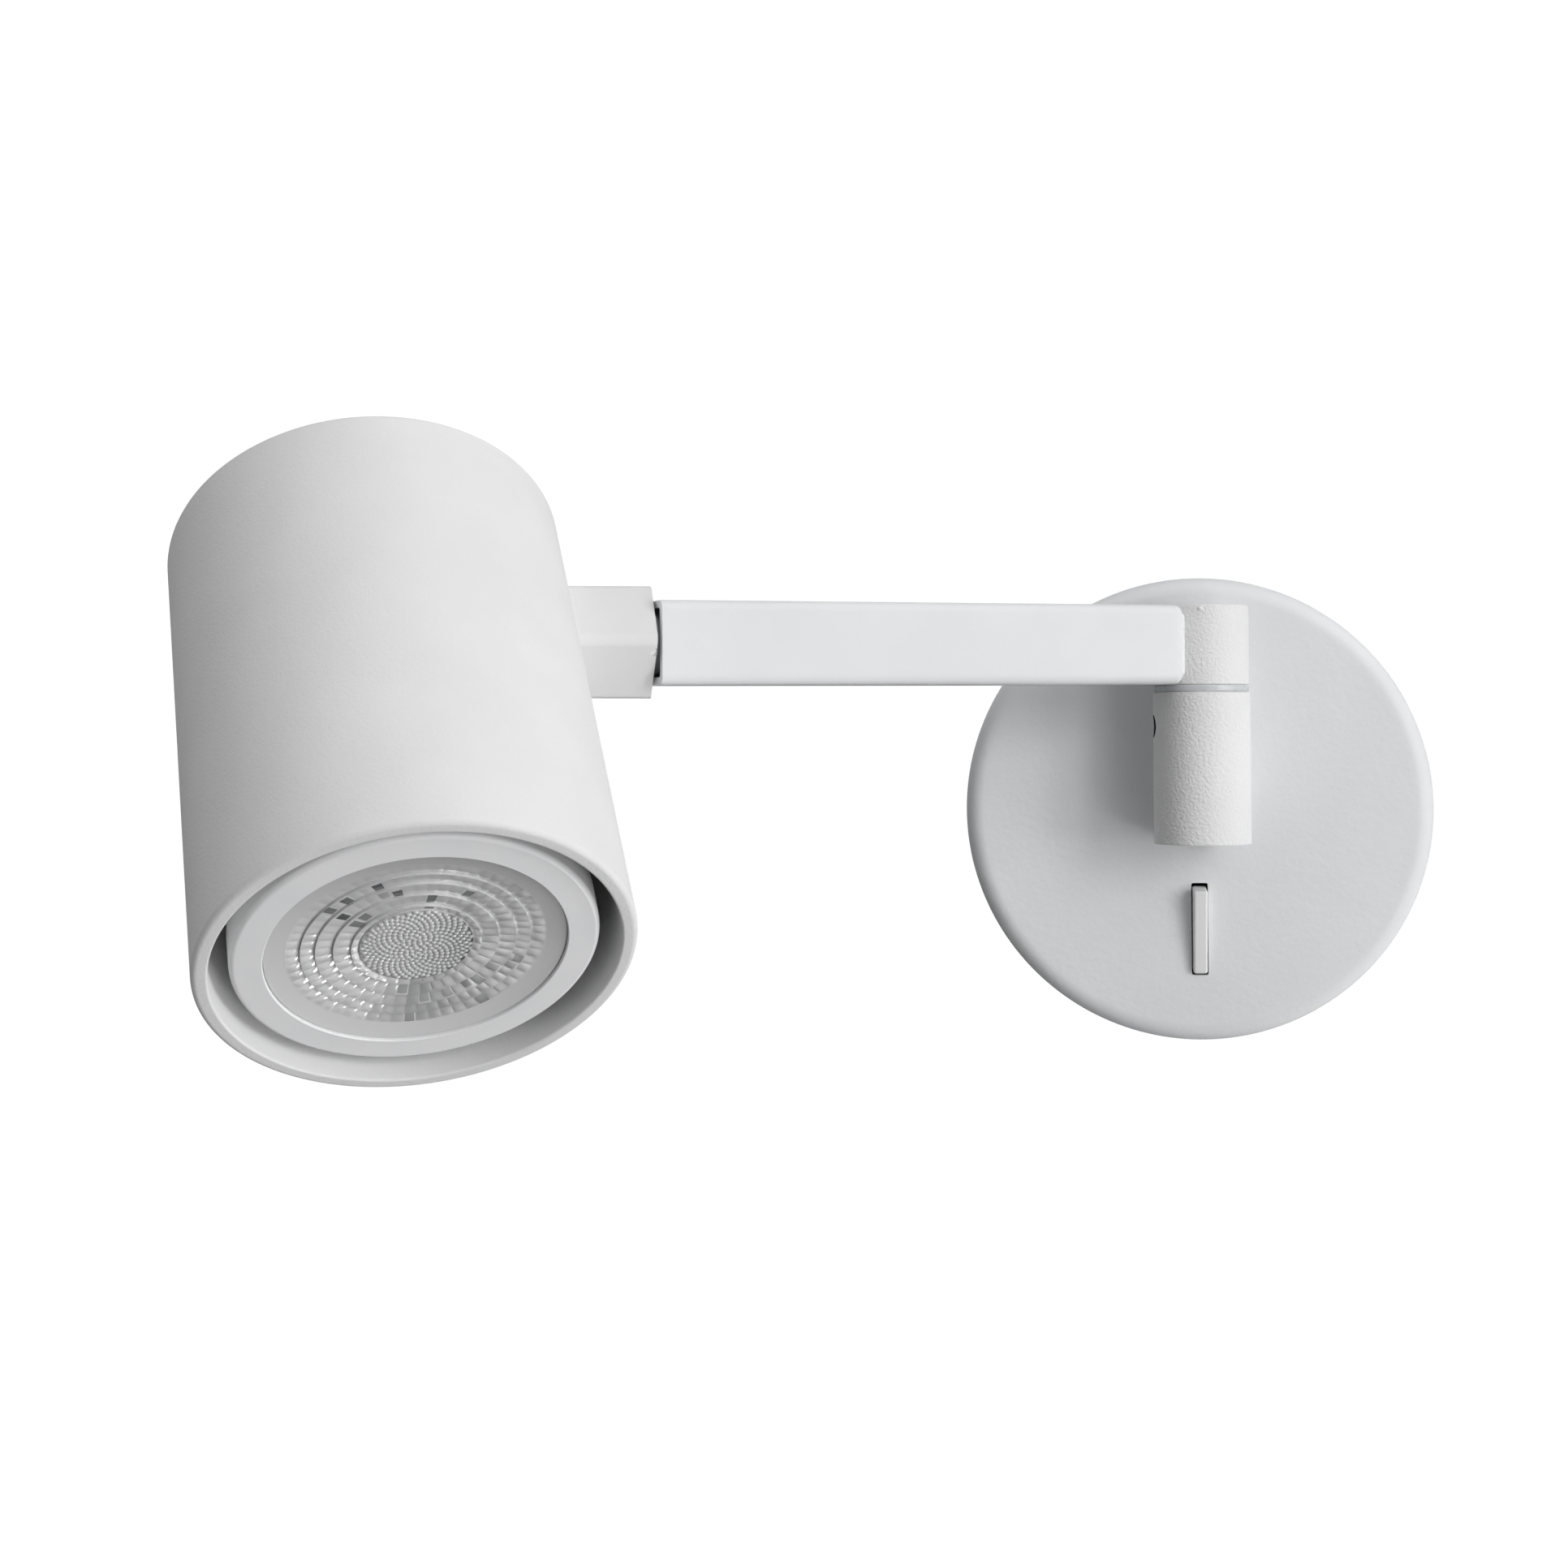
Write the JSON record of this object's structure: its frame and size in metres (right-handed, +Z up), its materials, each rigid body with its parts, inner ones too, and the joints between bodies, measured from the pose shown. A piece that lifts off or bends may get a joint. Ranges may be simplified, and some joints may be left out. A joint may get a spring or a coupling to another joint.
{
  "type": "pivoting spotlight wall light",
  "caption": "Round switched wall plate with an upright pivot post, a swinging square arm and a tilting cylindrical spotlight head on a twist-lock lamp.",
  "frame": {"origin": "centre of the round canopy on the wall plane, midway between the two wall screws", "axes": "+X to the right along the wall, +Y into the wall, +Z up; the light stands in front of the wall at -Y"},
  "size_m": [0.2003, 0.1494, 0.1008],
  "materials": {
    "powder_coat": "fine textured off-white powder coat",
    "zinc_steel": "bright zinc plate",
    "steel_screw": "plated steel",
    "dark_screw": "black oxide",
    "brass": "turned brass",
    "rubber": "moulded",
    "block_plastic": "moulded natural polyamide",
    "switch_plastic": "moulded black",
    "rocker_paint": "painted to match",
    "nylon": "translucent natural nylon",
    "cable_sleeve": "silicone sleeve",
    "ceramic": "glazed steatite",
    "lamp_white": "satin white moulding",
    "lamp_clear": "clear faceted lens",
    "board_white": "white solder mask",
    "phosphor": "yellow phosphor",
    "nickel": "nickel plate"
  },
  "bodies": {
    "base": {"mounting_bracket": "zinc_steel", "bracket_grommet": "rubber", "terminal_block": "block_plastic", "terminal_screws": "steel_screw", "block_screws": "steel_screw", "earth_screw": "brass", "canopy": "powder_coat", "canopy_set_screws": "dark_screw", "pivot_post": "powder_coat", "post_set_screw": "dark_screw", "post_stem": "zinc_steel", "stem_washer": "zinc_steel", "stem_nut": "zinc_steel", "base_cable": "cable_sleeve", "switch_body": "switch_plastic", "switch_clip": "zinc_steel", "switch_pin": "steel_screw", "switch_terminals": "brass", "tab_receptacles": "nylon", "switch_leads": "cable_sleeve", "pivot_washer": "nylon"},
    "rocker": {"switch_rocker": "rocker_paint"},
    "arm": {"pivot_spindle": "zinc_steel", "arm_knuckle": "powder_coat", "arm_tube": "powder_coat", "swivel_socket": "zinc_steel", "swivel_spring_washer": "steel_screw", "arm_cable": "cable_sleeve"},
    "head": {"swivel_washer": "nylon", "swivel_spindle": "zinc_steel", "swivel_nut": "brass", "stub_plug": "zinc_steel", "head_stub": "powder_coat", "head_cable": "cable_sleeve", "head_housing": "powder_coat", "holder_bracket": "zinc_steel", "bracket_screws": "steel_screw", "lamp_holder": "ceramic", "holder_contacts": "brass", "holder_screws": "steel_screw", "head_leads": "cable_sleeve"},
    "lamp": {"lamp_housing": "lamp_white", "lamp_lens": "lamp_clear", "lamp_board": "board_white", "lamp_led": "phosphor", "lamp_pins": "nickel"}
  },
  "joints": [
    {"name": "arm_swing", "type": "hinge", "parent": "base", "child": "arm", "pos_m": [0, -0.0341, 0.02785], "axis": [0, 0, 1], "range_deg": [-18.6, 151.4]},
    {"name": "head_tilt", "type": "hinge", "parent": "arm", "child": "head", "pos_m": [-0.0876, -0.07237, 0.02785], "axis": [-0.9164, -0.4003, 0], "range_deg": [-170, 170]},
    {"name": "lamp_twist", "type": "hinge", "parent": "head", "child": "lamp", "pos_m": [-0.12682, -0.08951, 0.02785], "axis": [-0.2668, 0.6108, 0.7455], "range_deg": [0, 25]},
    {"name": "switch_rock", "type": "hinge", "parent": "base", "child": "rocker", "pos_m": [0, -0.0228, -0.021], "axis": [1, 0, 0], "range_deg": [-15, 0]}
  ]
}
